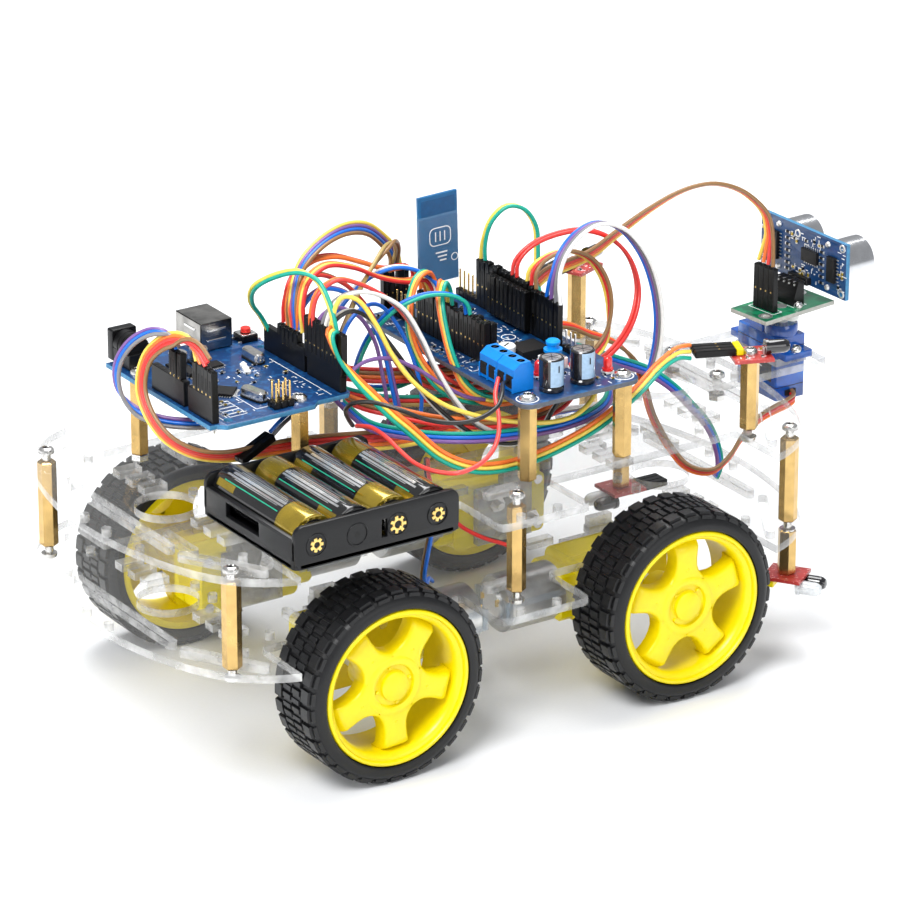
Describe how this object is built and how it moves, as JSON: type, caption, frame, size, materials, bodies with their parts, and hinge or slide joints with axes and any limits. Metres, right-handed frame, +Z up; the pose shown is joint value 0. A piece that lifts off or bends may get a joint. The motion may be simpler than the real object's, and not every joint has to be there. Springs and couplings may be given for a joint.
{
  "type": "four wheel robot car",
  "caption": "Two-deck clear acrylic robot car with geared drive wheels, battery holder, control and driver boards, infrared sensors and a panning ultrasonic head.",
  "frame": {"origin": "middle of the bottom of the car, on the ground under the tyres", "axes": "+X forward, towards the ultrasonic head; +Y to the car's left; +Z up"},
  "size_m": [0.2946, 0.1512, 0.1497],
  "materials": {
    "clear_acrylic": "polished clear sheet",
    "brass": "satin",
    "yellow_plastic": "moulded",
    "white_plastic": "moulded",
    "tyre_rubber": "matt",
    "black_plastic": "fine grain",
    "cell_wrap": "dark foil wrap",
    "blue_circuit_board": "solder mask",
    "green_circuit_board": "solder mask",
    "red_circuit_board": "solder mask",
    "steel": "plated",
    "red_plastic": "moulded",
    "blue_plastic": "moulded",
    "wire_sleeve": "pvc sleeve, several colours",
    "black_wire": "pvc sleeve",
    "red_wire": "pvc sleeve"
  },
  "bodies": {
    "chassis": {"lower_deck": "clear_acrylic", "upper_deck": "clear_acrylic", "servo_plate": "clear_acrylic", "motor_bracket_rear_right": "clear_acrylic", "motor_bracket_rear_left": "clear_acrylic", "motor_bracket_front_right": "clear_acrylic", "motor_bracket_front_left": "clear_acrylic", "deck_standoff_rear_left": "brass", "deck_standoff_rear_right": "brass", "deck_standoff_middle_left": "brass", "deck_standoff_middle_right": "brass", "deck_standoff_front_left": "brass", "deck_standoff_front_right": "brass", "controller_standoff_rear": "brass", "controller_standoff_front": "brass", "driver_standoff_left": "brass", "driver_standoff_right": "brass", "gear_motor_rear_right": "yellow_plastic", "gear_motor_rear_left": "yellow_plastic", "gear_motor_front_right": "yellow_plastic", "gear_motor_front_left": "yellow_plastic", "battery_holder": "black_plastic", "power_jack": "black_plastic", "battery_cell_1": "cell_wrap", "battery_cell_2": "cell_wrap", "battery_cell_3": "cell_wrap", "battery_cell_4": "cell_wrap", "controller_board": "blue_circuit_board", "driver_board": "blue_circuit_board", "bluetooth_module": "blue_circuit_board", "infrared_sensor_left": "red_circuit_board", "infrared_sensor_right": "red_circuit_board", "line_sensor_left": "red_circuit_board", "line_sensor_right": "red_circuit_board", "usb_socket": "steel", "terminal_block": "blue_plastic", "servo": "blue_plastic", "sonar_ribbon": "wire_sleeve", "servo_lead": "wire_sleeve", "front_sensor_ribbon": "wire_sleeve", "infrared_sensor_ribbon": "wire_sleeve", "controller_ribbon": "wire_sleeve", "battery_lead_black": "black_wire", "battery_lead_red": "red_wire"},
    "wheel_rear_right": {"drive_shaft_rear_right": "white_plastic", "wheel_rim_rear_right": "yellow_plastic", "tyre_rear_right": "tyre_rubber"},
    "wheel_rear_left": {"drive_shaft_rear_left": "white_plastic", "wheel_rim_rear_left": "yellow_plastic", "tyre_rear_left": "tyre_rubber"},
    "wheel_front_right": {"drive_shaft_front_right": "white_plastic", "wheel_rim_front_right": "yellow_plastic", "tyre_front_right": "tyre_rubber"},
    "wheel_front_left": {"drive_shaft_front_left": "white_plastic", "wheel_rim_front_left": "yellow_plastic", "tyre_front_left": "tyre_rubber"},
    "sonar_head": {"sonar_carrier": "green_circuit_board", "sonar_sensor": "blue_circuit_board"},
    "reset_button": {"reset_button": "red_plastic"},
    "switch_button": {"driver_switch_button": "blue_plastic"}
  },
  "joints": [
    {"name": "wheel_rear_right_spin", "type": "hinge", "parent": "chassis", "child": "wheel_rear_right", "pos_m": [-0.07703, -0.0637, 0.033], "axis": [0, 1, 0], "continuous": true},
    {"name": "wheel_rear_left_spin", "type": "hinge", "parent": "chassis", "child": "wheel_rear_left", "pos_m": [-0.07703, 0.0637, 0.033], "axis": [0, 1, 0], "continuous": true},
    {"name": "wheel_front_right_spin", "type": "hinge", "parent": "chassis", "child": "wheel_front_right", "pos_m": [0.03697, -0.0637, 0.033], "axis": [0, 1, 0], "continuous": true},
    {"name": "wheel_front_left_spin", "type": "hinge", "parent": "chassis", "child": "wheel_front_left", "pos_m": [0.03697, 0.0637, 0.033], "axis": [0, 1, 0], "continuous": true},
    {"name": "sonar_pan", "type": "hinge", "parent": "chassis", "child": "sonar_head", "pos_m": [0.12327, -0.0055, 0.0978], "axis": [0, 0, 1], "range_deg": [-97, 83]},
    {"name": "reset_press", "type": "slide", "parent": "chassis", "child": "reset_button", "axis": [0, 0, -1], "range_m": [0, 0.0005], "stiffness_N_per_m": 2000},
    {"name": "switch_press", "type": "slide", "parent": "chassis", "child": "switch_button", "axis": [0, 0, -1], "range_m": [0, 0.0015], "stiffness_N_per_m": 1000}
  ]
}
